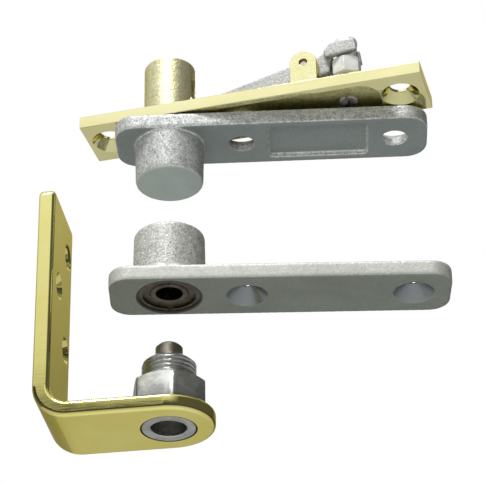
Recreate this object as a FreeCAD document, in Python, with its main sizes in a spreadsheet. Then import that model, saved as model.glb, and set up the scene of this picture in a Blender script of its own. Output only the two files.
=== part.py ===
import FreeCAD, Part
import os
import re
from math import cos, pi, sin

import Sketcher
from FreeCAD import Placement, Rotation, Vector

# Centre-hung door pivot set. Every length is in millimetres and every angle in degrees.
# Origin: the pivot axis where it leaves the underside of the jamb bracket's leg.
# +Z runs up the pivot axis, +X runs from the jamb out along the door.

SIZES = {
    # jamb bracket
    "bracket_width": (42.86, "width of the bracket"),
    "bracket_stock": (7.94, "thickness of the bracket's bar"),
    "jamb_offset": (59.6, "pivot axis to the face that lies on the jamb"),
    "leaf_height": (121.4, "underside of the leg to the top of the leaf"),
    "bend_radius": (8.5, "inner radius of the bend"),
    "leaf_corner": (3.5, "rounding of the leaf's two top corners"),
    "leaf_hole_radius": (3.55, "clearance hole for a quarter-inch jamb screw"),
    "leaf_sink_radius": (6.75, "countersink of a jamb screw at the leaf's surface"),
    "leaf_hole_middle": (76.2, "height of the middle of the jamb screws"),
    "leaf_hole_spacing": (50.8, "height between the two outer jamb screws"),
    "leaf_hole_far": (11.0, "sideways place of the outer jamb screws"),
    "leaf_hole_near": (6.0, "sideways place of the middle jamb screw, the other way"),
    # adjusting stud and lower pivot pin
    "stud_radius": (12.7, "outside radius of the stud's thread"),
    "stud_hex_flats": (31.75, "across the flats of the stud's hexagon"),
    "stud_hex_height": (14.6, "height of the hexagon"),
    "stud_hex_turn": (45.0, "turn of the hexagon about the pivot axis"),
    "stud_hex_chamfer": (2.6, "drop of the turned chamfer on the hexagon's corners"),
    "stud_neck_height": (12.9, "threaded length above the hexagon"),
    "stud_crown_radius": (8.3, "flat on the stud's top that carries the bearing"),
    "stud_crown_drop": (3.5, "height of the cone around that flat"),
    "pin_radius": (6.35, "radius of the lower pivot pin, half of half an inch"),
    "pin_height": (7.2, "pin above the stud's top"),
    "pin_head_radius": (7.6, "radius of the pin's head inside the stud"),
    "pin_head_height": (5.0, "height of the pin's head"),
    "pin_head_depth": (11.0, "underside of the stud to the pin's head"),
    "access_radius": (8.25, "radius of the recess below the pin's head"),
    "stud_hex_land": (0.4, "flat of the hexagon inside its chamfer"),
    "pin_chamfer": (1.4, "chamfer on the pins' ends"),
    # door arm
    "arm_height": (68.67, "underside of the arm above the origin, as laid out"),
    "arm_turn": (7.36, "turn of the arm about the pivot axis, as laid out"),
    "arm_width": (34.9, "width of the arm"),
    "arm_thickness": (7.94, "thickness of the arm"),
    "arm_heel": (28.2, "pivot axis to the arm's short end"),
    "arm_reach": (132.6, "pivot axis to the arm's long end"),
    "arm_corner": (10.0, "rounding of the arm's corners"),
    "arm_barrel_radius": (17.3, "radius of the arm's barrel at its root"),
    "arm_barrel_top_radius": (16.9, "radius of the arm's barrel at its top"),
    "arm_barrel_height": (24.3, "barrel above the arm"),
    "arm_hole_near": (36.7, "pivot axis to the arm's first screw"),
    "arm_hole_far": (115.0, "pivot axis to the arm's second screw"),
    "arm_hole_radius": (3.5, "clearance hole for the arm's screws"),
    "arm_sink_radius": (9.9, "countersink of the arm's screws at the surface"),
    "edge_round": (0.8, "rounding of the castings' outer edges"),
    "barrel_round": (1.2, "rounding of the castings' barrels at their ends"),
    "well_round": (2.5, "width of the ledge above the bearing"),
    "well_cone": (1.2, "height of the cone above that ledge"),
    # ball bearing in the arm
    "bearing_radius": (14.29, "outside radius of the ball bearing"),
    "bearing_width": (7.94, "width of the ball bearing"),
    "bearing_depth": (1.9, "underside of the arm to the bearing's face"),
    "bearing_inner_shoulder": (8.8, "outside radius of the inner ring's shoulders"),
    "bearing_outer_shoulder": (11.9, "inside radius of the outer ring's shoulders"),
    "ball_radius": (2.38, "radius of a bearing ball"),
    "ball_pitch_radius": (10.35, "radius of the ring of ball centres"),
    "groove_radius": (2.42, "radius of the raceways' section"),
    "cage_inner": (9.75, "inside radius of the cage"),
    "cage_outer": (10.95, "outside radius of the cage"),
    "cage_half_height": (3.1, "half the height of the cage"),
    "shield_thickness": (0.5, "thickness of the bearing's shield"),
    "shield_inset": (0.25, "bearing's face to the shield"),
    "shield_clearance": (0.25, "gap between the shield and the inner ring"),
    "snap_ring_inner": (12.6, "inside radius of the snap ring"),
    "snap_ring_thickness": (1.1, "thickness of the snap ring"),
    "snap_groove_depth": (0.9, "depth of the snap ring's groove in the arm"),
    "snap_ring_gap": (2.6, "width of the snap ring's opening"),
    "mouth_chamfer": (0.6, "chamfer at the mouth of the bearing's seat"),
    "arm_well_radius": (8.0, "radius of the well above the bearing"),
    "arm_well_depth": (25.5, "underside of the arm to the top of the well"),
    # top door plate and its bushing
    "door_plate_height": (153.3, "underside of the top door plate above the origin"),
    "door_plate_turn": (5.24, "turn of the top door plate about the pivot axis, as laid out"),
    "door_plate_width": (34.9, "width of the top door plate"),
    "door_plate_thickness": (7.94, "thickness of the top door plate"),
    "door_plate_heel": (26.2, "pivot axis to the plate's short end"),
    "door_plate_reach": (125.9, "pivot axis to the plate's long end"),
    "door_plate_corner": (10.5, "rounding of the plate's corners"),
    "door_barrel_radius": (16.9, "radius of the plate's barrel at its root"),
    "door_barrel_end_radius": (16.4, "radius of the plate's barrel at its closed end"),
    "door_barrel_height": (21.8, "barrel below the plate"),
    "door_hole_near": (35.3, "pivot axis to the plate's first hole"),
    "door_hole_far": (109.8, "pivot axis to the plate's second hole"),
    "door_hole_radius": (6.3, "holes through the plate"),
    "door_sink_radius": (9.5, "countersink of the plate's holes at its top"),
    "door_pocket_start": (48.5, "pivot axis to the start of the relief"),
    "door_pocket_end": (96.7, "pivot axis to the end of the relief"),
    "door_pocket_margin": (4.4, "edge of the plate to the relief"),
    "door_pocket_depth": (2.7, "depth of the relief"),
    "door_pocket_corner": (2.5, "rounding of the relief's corners"),
    "bushing_radius": (9.5, "outside radius of the bushing"),
    "bushing_flange_radius": (11.6, "radius of the bushing's flange"),
    "bushing_flange_height": (1.4, "thickness of the bushing's flange"),
    "bushing_depth": (25.4, "top of the plate to the bushing's lower end"),
    # top frame plate
    "frame_plate_height": (161.95, "underside of the frame plate above the origin"),
    "frame_plate_turn": (-7.13, "turn of the frame plate about the pivot axis"),
    "frame_plate_width": (31.2, "width of the frame plate"),
    "frame_plate_thickness": (6.35, "thickness of the frame plate"),
    "frame_plate_heel": (41.5, "pivot axis to the frame plate's short end"),
    "frame_plate_reach": (128.3, "pivot axis to the frame plate's long end"),
    "frame_hole_near": (30.4, "pivot axis to the screw behind the barrel"),
    "frame_hole_far": (115.6, "pivot axis to the screw at the long end"),
    "frame_hole_radius": (5.0, "clearance hole of the frame screws"),
    "frame_sink_radius": (9.1, "countersink of the frame screws at the surface"),
    "frame_barrel_radius": (12.6, "outside radius of the pin's barrel"),
    "frame_barrel_top": (36.6, "underside of the plate to the barrel's top"),
    "frame_barrel_cap": (3.5, "thickness of the barrel's closed top"),
    "frame_relief_start": (22.0, "pivot axis to the start of the cast relief"),
    "frame_relief_end": (106.0, "pivot axis to the end of the cast relief"),
    "frame_relief_width": (24.6, "width of the cast relief"),
    "frame_relief_corner": (10.0, "rounding of the cast relief's corners"),
    "frame_relief_depth": (2.2, "depth of the cast relief"),
    "ear_place": (70.4, "pivot axis to the walking beam's pin"),
    "ear_pin_height": (21.2, "underside of the plate to the beam's pin"),
    "ear_radius": (6.6, "radius of the ears' round tops"),
    "ear_thickness": (5.7, "thickness of each ear"),
    "ear_pin_recess": (0.9, "outer face of the ears to the ends of the beam's pin"),
    "ear_gap": (8.6, "gap between the ears"),
    "frame_slot_end": (19.0, "pivot axis to the end of the beam's slot in the plate"),
    "slot_headroom": (4.0, "beam's top edge to the top of the barrel's slot"),
    "rib_length": (4.0, "foot of the rib beside the barrel"),
    "rib_height": (9.0, "height of the rib beside the barrel"),
    "rib_thickness": (9.0, "thickness of the rib beside the barrel"),
    # retracting pin, walking beam, nut and screw
    "top_pin_radius": (6.35, "radius of the top pin"),
    "top_pin_reach": (17.5, "pin below the frame plate, extended"),
    "top_pin_tail": (12.5, "underside of the frame plate to the pin's top, extended"),
    "cross_pin_radius": (1.6, "radius of the cross pin"),
    "cross_pin_height": (6.0, "underside of the frame plate to the cross pin, extended"),
    "cross_pin_length": (11.6, "length of the cross pin"),
    "beam_tilt": (14.8, "tilt of the walking beam with the top pin extended"),
    "beam_thickness": (8.0, "thickness of the walking beam"),
    "beam_tip_thickness": (6.0, "thickness of the beam inside the barrel"),
    "beam_pin_radius": (2.0, "radius of the walking beam's pin"),
    "beam_back": (4.9, "pivot to the beam's top edge"),
    "beam_belly": (6.6, "pivot to the beam's lower edge beside the ears"),
    "beam_neck": (1.0, "pivot line to the beam's lower edge where it grows thin"),
    "beam_lap": (2.0, "length over which the bar and the thin tip run together"),
    "beam_dip": (1.3, "steps in the beam's outline beside the ears and the fork"),
    "beam_tip_half": (3.4, "half the height of the beam's tip"),
    "beam_tip_overrun": (3.45, "cross pin to the end of the beam's tip"),
    "beam_shoulder": (8.0, "length over which the beam grows thin"),
    "beam_thin_place": (22.4, "pivot axis to where the beam grows thin"),
    "fork_place": (21.0, "beam's pivot to the middle of the fork, along the beam"),
    "fork_rise": (2.4, "beam's pivot to the middle of the fork, across the beam"),
    "fork_floor": (14.3, "beam's pivot to the bottom of the fork's slot"),
    "fork_width": (15.0, "width over the fork's two tines"),
    "fork_gap": (9.4, "gap between the tines"),
    "fork_root": (3.4, "thickness of the fork behind its slot"),
    "tine_length": (12.2, "length of the tines along the beam"),
    "tine_height": (7.4, "height of the tines"),
    "nut_flats": (12.7, "across the flats of the travelling nut's hexagon"),
    "nut_hex_height": (9.0, "height of the travelling nut's hexagon"),
    "nut_neck": (8.4, "width of the nut's square neck"),
    "nut_flange_radius": (5.6, "radius of the nut's top flange"),
    "nut_flange_height": (2.6, "thickness of the nut's top flange"),
    "nut_play": (0.25, "play between the tines' pads and the nut"),
    "screw_radius": (3.175, "radius of the retraction screw, quarter inch"),
    "screw_top": (37.0, "underside of the frame plate to the screw's end"),
    "screw_head_radius": (4.5, "radius of the screw's slotted head"),
    "screw_head_height": (1.9, "height of the screw's head"),
    "screw_slot_width": (1.3, "width of the driver slot"),
    "screw_slot_depth": (1.1, "depth of the driver slot"),
    "clip_radius": (5.6, "outside radius of the clip that holds the screw"),
    "clip_thickness": (0.9, "thickness of that clip"),
    "clip_groove_radius": (2.5, "radius of the screw under the clip"),
    "clip_opening": (4.6, "opening of the clip"),
    "clip_gap": (0.15, "play between the clip and the plate"),
    "end_break": (0.6, "chamfer on the ends of small turned pieces"),
    # clearances
    "running": (0.05, "radial clearance of pins and threads that turn or slide"),
    "side_play": (0.4, "play beside the beam in the barrel and the top pin"),
    "slot_run": (2.4, "room for the cross pin to run along the beam's slot"),
    "slot_play": (0.35, "play above and below the cross pin in the beam's slot"),
}
BALL_COUNT = 8

UPRIGHT = Rotation()
ALONG_X = Rotation(Vector(0, 1, 0), 90)
ALONG_Y = Rotation(Vector(1, 0, 0), -90)
CENTRE = ("0", "0", "0")
TOLERANCE = 1e-4
COUNTERSINK_TANGENT = 0.8693  # half of an 82 degree countersink

doc = FreeCAD.newDocument("door_pivot_set")
sheet = doc.addObject("Spreadsheet::Sheet", "dims")
for row, (alias, (amount, meaning)) in enumerate(SIZES.items(), 1):
    sheet.set("A%d" % row, meaning)
    sheet.set("B%d" % row, str(amount))
    sheet.setAlias("B%d" % row, alias)
doc.recompute()


def cell(word):
    return "dims." + word if word in SIZES else word


def formula(text):
    """Turns a formula written with the sizes' names into one that reads the sheet."""
    return re.sub(r"[a-z]\w*", lambda word: cell(word.group()), text)


def value(text):
    """Number that a formula gives with the sheet's present sizes."""
    return float(sheet.evalExpression(formula(text)))


def bind(feature, prop, text):
    feature.setExpression(prop, formula(text))


# ---------------------------------------------------------------- sketches and features

def new_body(name):
    body = doc.addObject("PartDesign::Body", name)
    body.Label = name
    return body


def origin_plane(body, role):
    return next(item for item in body.Origin.OriginFeatures if item.Role == role)


def new_sketch(body, name, role, lift="0"):
    sketch = body.newObject("Sketcher::SketchObject", name)
    sketch.AttachmentSupport = (origin_plane(body, role), [""])
    sketch.MapMode = "FlatFace"
    bind(sketch, "AttachmentOffset.Base.z", lift)
    return sketch


def pin_point(sketch, geometry, end, across, up):
    """Holds one point of a sketch at two formulas measured from the sketch's origin."""
    for kind, text in (("DistanceX", across), ("DistanceY", up)):
        number = sketch.addConstraint(Sketcher.Constraint(kind, geometry, end, value(text)))
        bind(sketch, "Constraints[%d]" % number, text)


def draw_outline(sketch, corners):
    """Closed outline of straight lines whose corners are pairs of formulas."""
    points = [Vector(value(across), value(up), 0) for across, up in corners]
    for start, stop in zip(points, points[1:] + points[:1]):
        sketch.addGeometry(Part.LineSegment(start, stop))
    for side in range(len(points)):
        following = (side + 1) % len(points)
        sketch.addConstraint(Sketcher.Constraint("Coincident", side, 2, following, 1))
    for side, (across, up) in enumerate(corners):
        pin_point(sketch, side, 1, across, up)


def prism(body, name, role, corners, length, lift="0", centred=False, cut=False):
    """Outline pushed out to a length: a pad, or a pocket when cut is set."""
    sketch = new_sketch(body, name + "_outline", role, lift)
    draw_outline(sketch, corners)
    feature = body.newObject("PartDesign::Pocket" if cut else "PartDesign::Pad", name)
    feature.Profile = sketch
    feature.Midplane = centred
    feature.Reversed = cut and not centred
    bind(feature, "Length", length)
    return feature


def turned(body, name, profile, cut=False):
    """Profile of (radius, height) formulas revolved about the body's own Z axis."""
    sketch = new_sketch(body, name + "_profile", "XZ_Plane")
    draw_outline(sketch, profile)
    feature = body.newObject("PartDesign::Groove" if cut else "PartDesign::Revolution", name)
    feature.Profile = sketch
    feature.ReferenceAxis = (sketch, ["V_Axis"])
    feature.Angle = 360
    return feature


def primitive(body, kind, name, at=CENTRE, turn=UPRIGHT, **sizes):
    """PartDesign primitive with its place and its sizes bound to the sheet."""
    feature = body.newObject("PartDesign::" + kind, name)
    feature.Placement = Placement(Vector(), turn)
    for axis, text in zip("xyz", at):
        bind(feature, "Placement.Base." + axis, text)
    for prop, text in sizes.items():
        bind(feature, prop, text)
    return feature


def countersink(body, name, at, turn, hole, sink, through):
    """Screw hole of radius hole with an 82 degree countersink; at is the sunk face."""
    depth = "((%s) - (%s)) / %s" % (sink, hole, COUNTERSINK_TANGENT)
    primitive(body, "SubtractiveCylinder", name + "_hole", at, turn, Radius=hole, Height=through)
    primitive(body, "SubtractiveCone", name + "_sink", at, turn,
              Radius1=sink, Radius2=hole, Height=depth)


def edges_where(shape, test):
    return ["Edge%d" % number for number, edge in enumerate(shape.Edges, 1) if test(edge)]


def on_line(x=None, y=None, z=None):
    """Test for edges that lie wholly at the given coordinates, written as formulas."""
    wanted = [(axis, value(text)) for axis, text in zip("XYZ", (x, y, z)) if text is not None]

    def test(edge):
        return all(abs(getattr(vertex, axis) - place) < TOLERANCE
                   for vertex in edge.Vertexes for axis, place in wanted)
    return test


def round_edges(body, name, radius, *tests):
    """Fillet on every edge of the body so far that passes one of the tests."""
    doc.recompute()
    base = body.Tip
    names = edges_where(base.Shape, lambda edge: any(test(edge) for test in tests))
    feature = body.newObject("PartDesign::Fillet", name)
    feature.Base = (base, names)
    bind(feature, "Radius", radius)
    return feature


def corner_tests(x_texts, half_width):
    return [on_line(x=x, y=y) for x in x_texts for y in (half_width, "-" + half_width)]


def rectangle(start, end, half_width):
    return [(start, "-" + half_width), (end, "-" + half_width), (end, half_width),
            (start, half_width)]


def carry(parts, height, turn="0", local=Placement()):
    """Places parts built about the pivot axis at a height and a turn about that axis."""
    group = Placement(Vector(0, 0, value(height)), Rotation(Vector(0, 0, 1), value(turn)))
    for part in parts:
        part.Placement = group.multiply(local)


# ---------------------------------------------------------------- jamb bracket and stud

def make_jamb_bracket():
    body = new_body("jamb_bracket")
    half = "bracket_width / 2"
    inner = "bracket_stock - jamb_offset"
    prism(body, "bent_bar", "XZ_Plane",
          [("-jamb_offset", "0"), ("0", "0"), ("0", "bracket_stock"), (inner, "bracket_stock"),
           (inner, "leaf_height"), ("-jamb_offset", "leaf_height")],
          "bracket_width", centred=True)
    primitive(body, "AdditiveCylinder", "round_end", Radius=half, Height="bracket_stock")
    round_edges(body, "inner_bend", "bend_radius", on_line(x=inner, z="bracket_stock"))
    round_edges(body, "outer_bend", "bend_radius + bracket_stock",
                on_line(x="-jamb_offset", z="0"))
    round_edges(body, "leaf_corners", "leaf_corner",
                on_line(y=half, z="leaf_height"), on_line(y="-" + half, z="leaf_height"))
    primitive(body, "SubtractiveCylinder", "stud_hole",
              Radius="stud_radius + running", Height="bracket_stock")
    places = (("upper", "leaf_hole_far", "leaf_hole_middle + leaf_hole_spacing / 2"),
              ("middle", "-leaf_hole_near", "leaf_hole_middle"),
              ("lower", "leaf_hole_far", "leaf_hole_middle - leaf_hole_spacing / 2"))
    for name, across, up in places:
        countersink(body, name + "_screw", (inner, across, up),
                    Rotation(Vector(0, 1, 0), -90),
                    "leaf_hole_radius", "leaf_sink_radius", "bracket_stock")
    return body


STUD_TOP = "(bracket_stock + stud_hex_height + stud_neck_height)"


def make_adjusting_stud():
    body = new_body("adjusting_stud")
    hex_top = "(bracket_stock + stud_hex_height)"
    corner = "(stud_hex_flats / sqrt(3))"
    turned(body, "round_parts",
           [("0", "0"), ("stud_radius", "0"), ("stud_radius", STUD_TOP + " - stud_crown_drop"),
            ("stud_crown_radius", STUD_TOP), ("0", STUD_TOP)])
    primitive(body, "AdditivePrism", "hexagon", ("0", "0", "bracket_stock"),
              Rotation(Vector(0, 0, 1), value("stud_hex_turn")),
              Circumradius=corner, Height="stud_hex_height")
    turned(body, "hexagon_chamfer",
           [("stud_hex_flats / 2 - stud_hex_land", hex_top), (corner + " + 1", hex_top),
            (corner + " + 1", hex_top + " - stud_hex_chamfer * 1.5")], cut=True)
    primitive(body, "SubtractiveCylinder", "access_bore",
              Radius="access_radius", Height="pin_head_depth")
    primitive(body, "SubtractiveCylinder", "head_seat",
              Radius="pin_head_radius + running", Height="pin_head_depth + pin_head_height")
    primitive(body, "SubtractiveCylinder", "pin_bore",
              Radius="pin_radius + running", Height=STUD_TOP)
    return body


def make_lower_pivot_pin():
    body = new_body("lower_pivot_pin")
    tip = STUD_TOP + " + pin_height"
    turned(body, "pin",
           [("0", "pin_head_depth"), ("pin_head_radius", "pin_head_depth"),
            ("pin_head_radius", "pin_head_depth + pin_head_height"),
            ("pin_radius", "pin_head_depth + pin_head_height"),
            ("pin_radius", tip + " - pin_chamfer"), ("pin_radius - pin_chamfer", tip),
            ("0", tip)])
    return body


# ---------------------------------------------------------------- door arm and its bearing

def make_door_arm():
    body = new_body("door_arm")
    half = "arm_width / 2"
    ends = ("-arm_heel", "arm_reach")
    prism(body, "plate", "XY_Plane", rectangle(*ends, half), "arm_thickness")
    round_edges(body, "corners", "arm_corner", *corner_tests(ends, half))
    round_edges(body, "plate_edges", "edge_round",
                on_line(z="0"), on_line(z="arm_thickness"))
    primitive(body, "AdditiveCone", "barrel", ("0", "0", "arm_thickness"),
              Radius1="arm_barrel_radius", Radius2="arm_barrel_top_radius",
              Height="arm_barrel_height")
    top = "arm_thickness + arm_barrel_height"
    round_edges(body, "barrel_rim", "barrel_round", on_line(z=top))
    seat_top = "(bearing_depth + bearing_width)"
    turned(body, "bearing_seat",
           [("0", "0"), ("bearing_radius + mouth_chamfer", "0"),
            ("bearing_radius", "mouth_chamfer"), ("bearing_radius", seat_top),
            ("arm_well_radius + well_round", seat_top),
            ("arm_well_radius", seat_top + " + well_cone"),
            ("arm_well_radius", "arm_well_depth"), ("0", "arm_well_depth")], cut=True)
    groove = "(bearing_depth - snap_ring_thickness)"
    turned(body, "snap_ring_groove",
           [("0", groove), ("bearing_radius + snap_groove_depth", groove),
            ("bearing_radius + snap_groove_depth", "bearing_depth"), ("0", "bearing_depth")],
           cut=True)
    for name, place in (("near", "arm_hole_near"), ("far", "arm_hole_far")):
        countersink(body, name + "_screw", (place, "0", "0"), UPRIGHT,
                    "arm_hole_radius", "arm_sink_radius", "arm_thickness")
    return body


def bearing_ring(name, inner, outer):
    """Ball bearing ring between two radii with the raceway cut from it."""
    body = new_body(name)
    face = "bearing_depth"
    back = "bearing_depth + bearing_width"
    turned(body, "ring", [(inner, face), (outer, face), (outer, back), (inner, back)])
    primitive(body, "SubtractiveTorus", "raceway", ("0", "0", face + " + bearing_width / 2"),
              Radius1="ball_pitch_radius", Radius2="groove_radius")
    return body


def make_bearing_balls():
    """One compound of equal balls, evenly spaced round the bearing."""
    balls = []
    for number in range(BALL_COUNT):
        ball = doc.addObject("Part::Sphere", "ball_%d" % (number + 1))
        bind(ball, "Radius", "ball_radius")
        angle = 2 * pi * number / BALL_COUNT
        bind(ball, "Placement.Base.x", "ball_pitch_radius * %.12f" % cos(angle))
        bind(ball, "Placement.Base.y", "ball_pitch_radius * %.12f" % sin(angle))
        bind(ball, "Placement.Base.z", "bearing_depth + bearing_width / 2")
        balls.append(ball)
    group = doc.addObject("Part::Compound", "bearing_balls")
    group.Label = "bearing_balls"
    group.Links = balls
    return group


def make_bearing_cage():
    body = new_body("bearing_cage")
    middle = "(bearing_depth + bearing_width / 2)"
    low = middle + " - cage_half_height"
    high = middle + " + cage_half_height"
    turned(body, "ribbon", [("cage_inner", low), ("cage_outer", low), ("cage_outer", high),
                            ("cage_inner", high)])
    for number in range(BALL_COUNT):
        angle = 2 * pi * number / BALL_COUNT
        outward = Rotation(Vector(0, 0, 1), Vector(cos(angle), sin(angle), 0))
        primitive(body, "SubtractiveCylinder", "pocket_%d" % (number + 1),
                  ("cage_inner / 2 * %.12f" % cos(angle), "cage_inner / 2 * %.12f" % sin(angle),
                   middle), outward, Radius="ball_radius + running", Height="cage_outer")
    return body


def make_bearing_shield():
    body = new_body("bearing_shield")
    low = "(bearing_depth + shield_inset)"
    inner = "bearing_inner_shoulder + shield_clearance"
    turned(body, "washer",
           [(inner, low), ("bearing_outer_shoulder", low),
            ("bearing_outer_shoulder", low + " + shield_thickness"),
            (inner, low + " + shield_thickness")])
    return body


def make_snap_ring():
    body = new_body("bearing_snap_ring")
    low = "(bearing_depth - snap_ring_thickness)"
    outer = "bearing_radius + snap_groove_depth"
    turned(body, "ring", [("snap_ring_inner", low), (outer, low), (outer, "bearing_depth"),
                          ("snap_ring_inner", "bearing_depth")])
    primitive(body, "SubtractiveBox", "opening", ("-snap_ring_gap / 2", "0", low),
              Length="snap_ring_gap", Width=outer + " + 1", Height="snap_ring_thickness")
    return body


# ---------------------------------------------------------------- top door plate

def make_top_door_plate():
    body = new_body("top_door_plate")
    half = "door_plate_width / 2"
    ends = ("-door_plate_heel", "door_plate_reach")
    prism(body, "plate", "XY_Plane", rectangle(*ends, half), "door_plate_thickness")
    round_edges(body, "corners", "door_plate_corner", *corner_tests(ends, half))
    round_edges(body, "plate_edges", "edge_round",
                on_line(z="0"), on_line(z="door_plate_thickness"))
    primitive(body, "AdditiveCone", "barrel", ("0", "0", "-door_barrel_height"),
              Radius1="door_barrel_end_radius", Radius2="door_barrel_radius",
              Height="door_barrel_height")
    round_edges(body, "barrel_rim", "barrel_round", on_line(z="-door_barrel_height"))
    pocket_half = "(door_plate_width / 2 - door_pocket_margin)"
    pocket_ends = ("door_pocket_start", "door_pocket_end")
    prism(body, "relief", "XY_Plane", rectangle(*pocket_ends, pocket_half),
          "door_pocket_depth", cut=True)
    round_edges(body, "relief_corners", "door_pocket_corner",
                *corner_tests(pocket_ends, pocket_half))
    top = "door_plate_thickness"
    turned(body, "bushing_seat",
           [("0", top), ("bushing_flange_radius", top),
            ("bushing_flange_radius", top + " - bushing_flange_height"),
            ("bushing_radius", top + " - bushing_flange_height"),
            ("bushing_radius", top + " - bushing_depth"), ("0", top + " - bushing_depth")],
           cut=True)
    for name, place in (("near", "door_hole_near"), ("far", "door_hole_far")):
        countersink(body, name + "_screw", (place, "0", top), Rotation(Vector(1, 0, 0), 180),
                    "door_hole_radius", "door_sink_radius", "door_plate_thickness")
    return body


def make_pin_bushing():
    body = new_body("pin_bushing")
    top = "door_plate_thickness"
    bore = "top_pin_radius + running"
    turned(body, "sleeve",
           [(bore, top), ("bushing_flange_radius", top),
            ("bushing_flange_radius", top + " - bushing_flange_height"),
            ("bushing_radius", top + " - bushing_flange_height"),
            ("bushing_radius", top + " - bushing_depth"), (bore, top + " - bushing_depth")])
    return body


# ---------------------------------------------------------------- top frame plate

# The beam's fork stands over the screw, so the screw's place follows from the beam.
COSINE = "cos(beam_tilt * 1deg)"
SINE = "sin(beam_tilt * 1deg)"
HALF_COSINE = "cos(beam_tilt * 0.5deg)"
HALF_SINE = "sin(beam_tilt * 0.5deg)"
SCREW_PLACE = "(ear_place + fork_place * %s - fork_rise * %s)" % (COSINE, SINE)
FORK_HEIGHT = "(ear_pin_height + fork_place * %s + fork_rise * %s)" % (SINE, COSINE)
# Half the gap between the nut's hexagon and its flange: the tines at either end of their rock.
NUT_REACH = ("(tine_height / 2 * %s + tine_length / 2 * %s + nut_play)" % (HALF_COSINE, HALF_SINE))
# The cross pin's place along and across the beam, seen from the beam's own pivot.
CROSS_RISE = ("((cross_pin_height - ear_pin_height) * %s + ear_place * %s)" % (COSINE, SINE))
CROSS_PLACE = ("(ear_place * %s + (ear_pin_height - cross_pin_height) * %s)" % (COSINE, SINE))
# Floor of the slots that clear the beam's tip, which dips below the cross pin past it.
TIP_FLOOR = "(cross_pin_height - beam_tip_half - side_play - beam_tip_overrun * %s)" % SINE

def make_top_frame_plate():
    body = new_body("top_frame_plate")
    half = "frame_plate_width / 2"
    top = "frame_plate_thickness"
    prism(body, "plate", "XY_Plane", rectangle("-frame_plate_heel", "frame_plate_reach", half),
          "frame_plate_thickness")
    primitive(body, "AdditiveCylinder", "barrel", Radius="frame_barrel_radius",
              Height="frame_barrel_top")
    round_edges(body, "barrel_rim", "barrel_round", on_line(z="frame_barrel_top"))
    for name, side in (("near", "-1"), ("far", "1")):
        middle = side + " * (ear_gap + ear_thickness) / 2"
        primitive(body, "AdditiveBox", name + "_ear",
                  ("ear_place - ear_radius", middle + " - ear_thickness / 2", "0"),
                  Length="ear_radius * 2", Width="ear_thickness", Height="ear_pin_height")
        primitive(body, "AdditiveCylinder", name + "_ear_top",
                  ("ear_place", middle + " - ear_thickness / 2", "ear_pin_height"), ALONG_Y,
                  Radius="ear_radius", Height="ear_thickness")
    rib_start = "(frame_barrel_radius / 2)"
    prism(body, "rib", "XZ_Plane",
          [(rib_start, "0"), ("frame_barrel_radius + rib_length", "0"),
           ("frame_barrel_radius + rib_length", top),
           ("frame_barrel_radius", top + " + rib_height"),
           (rib_start, top + " + rib_height")], "rib_thickness", centred=True)
    primitive(body, "SubtractiveCylinder", "pin_bore",
              Radius="top_pin_radius + running", Height="frame_barrel_top - frame_barrel_cap")
    primitive(body, "SubtractiveBox", "beam_slot",
              ("0", "-(beam_tip_thickness + side_play * 2) / 2", TIP_FLOOR),
              Length="frame_slot_end", Width="beam_tip_thickness + side_play * 2",
              Height="ear_pin_height + beam_back + slot_headroom - " + TIP_FLOOR)
    relief_half = "frame_relief_width / 2"
    prism(body, "relief", "XY_Plane",
          rectangle("frame_relief_start", "frame_relief_end", relief_half),
          "frame_relief_depth", cut=True)
    round_edges(body, "relief_ends", "frame_relief_corner",
                *corner_tests(("frame_relief_start", "frame_relief_end"), relief_half))
    for name, place in (("near", "-frame_hole_near"), ("far", "frame_hole_far")):
        countersink(body, name + "_screw", (place, "0", "0"), UPRIGHT,
                    "frame_hole_radius", "frame_sink_radius", "frame_plate_thickness")
    primitive(body, "SubtractiveCylinder", "screw_hole", (SCREW_PLACE, "0", "0"),
              Radius="screw_radius + running", Height="frame_plate_thickness")
    primitive(body, "SubtractiveCylinder", "ear_holes",
              ("ear_place", "-ear_gap - ear_thickness", "ear_pin_height"), ALONG_Y,
              Radius="beam_pin_radius", Height="(ear_gap + ear_thickness) * 2")
    return body


def make_beam_pivot_pin():
    body = new_body("beam_pivot_pin")
    half = "(ear_gap / 2 + ear_thickness - ear_pin_recess)"
    primitive(body, "AdditiveCylinder", "pin", ("ear_place", "-" + half, "ear_pin_height"),
              ALONG_Y, Radius="beam_pin_radius", Height=half + " * 2")
    return body


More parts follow.
